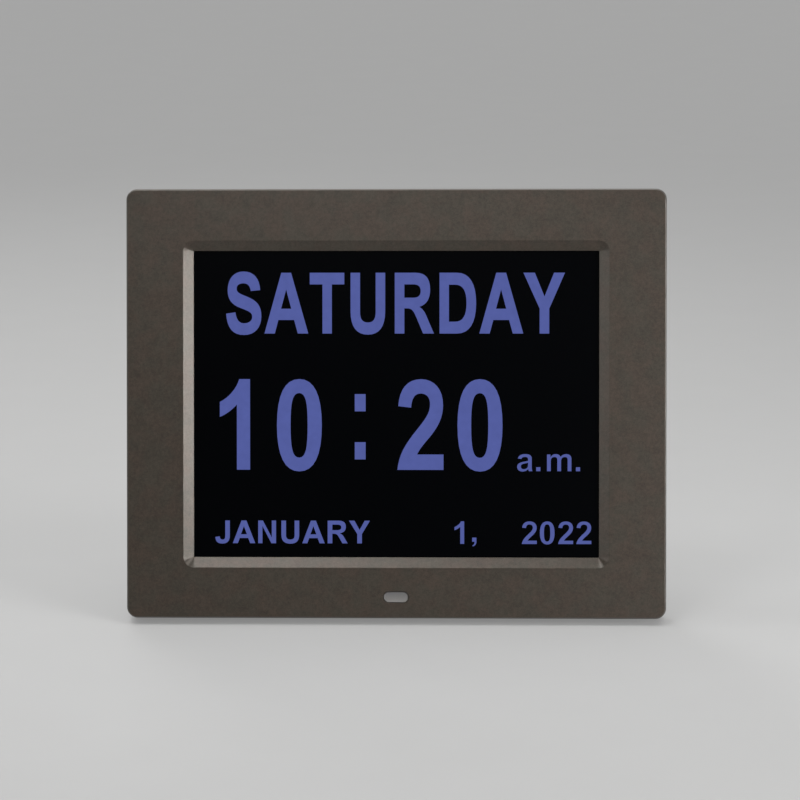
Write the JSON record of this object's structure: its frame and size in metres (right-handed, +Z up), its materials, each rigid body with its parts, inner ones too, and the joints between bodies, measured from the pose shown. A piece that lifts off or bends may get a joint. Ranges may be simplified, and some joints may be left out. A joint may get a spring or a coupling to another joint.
{
  "type": "day clock",
  "caption": "Flat-framed desk clock with a large screen for day, time and date, a fold-out leg, buttons and wall-hanging holes at the back, and a side power socket.",
  "frame": {"origin": "middle of the clock's box, on the surface that it stands on, with the leg open", "axes": "+Z up, +X to the right of someone who reads the screen, +Y from the screen towards the back; the face leans back by 12 degrees"},
  "size_m": [0.216, 0.073, 0.1709],
  "materials": {
    "frame_paint": "satin bronze-taupe metallic paint with fine flake",
    "cover_plastic": "fine spark-eroded texture",
    "button_plastic": "smooth satin",
    "screen_glass": "black screen with an anti-glare surface",
    "screen_panel": "lit panel; also the lit letters of the screen",
    "black_foam": "foam",
    "black_rubber": "matte",
    "grey_rubber": "matte",
    "sensor_lens": "smoky translucent grey",
    "black_plastic": "matte",
    "white_plastic": "satin",
    "circuit_board": "green solder mask",
    "cable_film": "amber film",
    "steel": "zinc plated",
    "black_screw": "black oxide",
    "cell_steel": "bright nickel plate",
    "speaker_cone": "black"
  },
  "bodies": {
    "case": {"front_frame": "frame_paint", "sensor_window": "sensor_lens", "light_sensor": "black_plastic", "sensor_board": "circuit_board", "sensor_screws": "steel", "screen_gasket": "black_foam", "screen_glass": "screen_glass", "screen_panel": "screen_panel", "screen_tray": "steel", "tray_screws": "steel", "main_board": "circuit_board", "board_screws": "steel", "board_chips": "black_plastic", "cable_connector": "white_plastic", "display_cable": "cable_film", "coin_cell_holder": "black_plastic", "coin_cell": "cell_steel", "power_socket": "black_plastic", "speaker": "speaker_cone", "switches": "black_plastic", "rear_cover": "cover_plastic", "case_screws": "black_screw", "front_feet": "grey_rubber", "hinge_pin": "steel"},
    "leg": {"stand_leg": "cover_plastic", "leg_pad": "black_rubber"},
    "power_key": {"power_button": "button_plastic", "power_plunger": "white_plastic"},
    "right_key": {"right_button": "button_plastic", "right_plunger": "white_plastic"},
    "left_key": {"left_button": "button_plastic", "left_plunger": "white_plastic"},
    "down_key": {"down_button": "button_plastic", "down_plunger": "white_plastic"},
    "up_key": {"up_button": "button_plastic", "up_plunger": "white_plastic"},
    "menu_key": {"menu_button": "button_plastic", "menu_plunger": "white_plastic"}
  },
  "joints": [
    {"name": "leg_hinge", "type": "hinge", "parent": "case", "child": "leg", "pos_m": [0, 0.00917, 0.10777], "axis": [1, 0, 0], "range_deg": [-25, 0]},
    {"name": "power_press", "type": "slide", "parent": "case", "child": "power_key", "axis": [0, -0.9781, 0.2079], "range_m": [0, 0.0006], "stiffness_N_per_m": 3000},
    {"name": "right_press", "type": "slide", "parent": "case", "child": "right_key", "axis": [0, -0.9781, 0.2079], "range_m": [0, 0.0006], "stiffness_N_per_m": 3000},
    {"name": "left_press", "type": "slide", "parent": "case", "child": "left_key", "axis": [0, -0.9781, 0.2079], "range_m": [0, 0.0006], "stiffness_N_per_m": 3000},
    {"name": "down_press", "type": "slide", "parent": "case", "child": "down_key", "axis": [0, -0.9781, 0.2079], "range_m": [0, 0.0006], "stiffness_N_per_m": 3000},
    {"name": "up_press", "type": "slide", "parent": "case", "child": "up_key", "axis": [0, -0.9781, 0.2079], "range_m": [0, 0.0006], "stiffness_N_per_m": 3000},
    {"name": "menu_press", "type": "slide", "parent": "case", "child": "menu_key", "axis": [0, -0.9781, 0.2079], "range_m": [0, 0.0006], "stiffness_N_per_m": 3000}
  ]
}
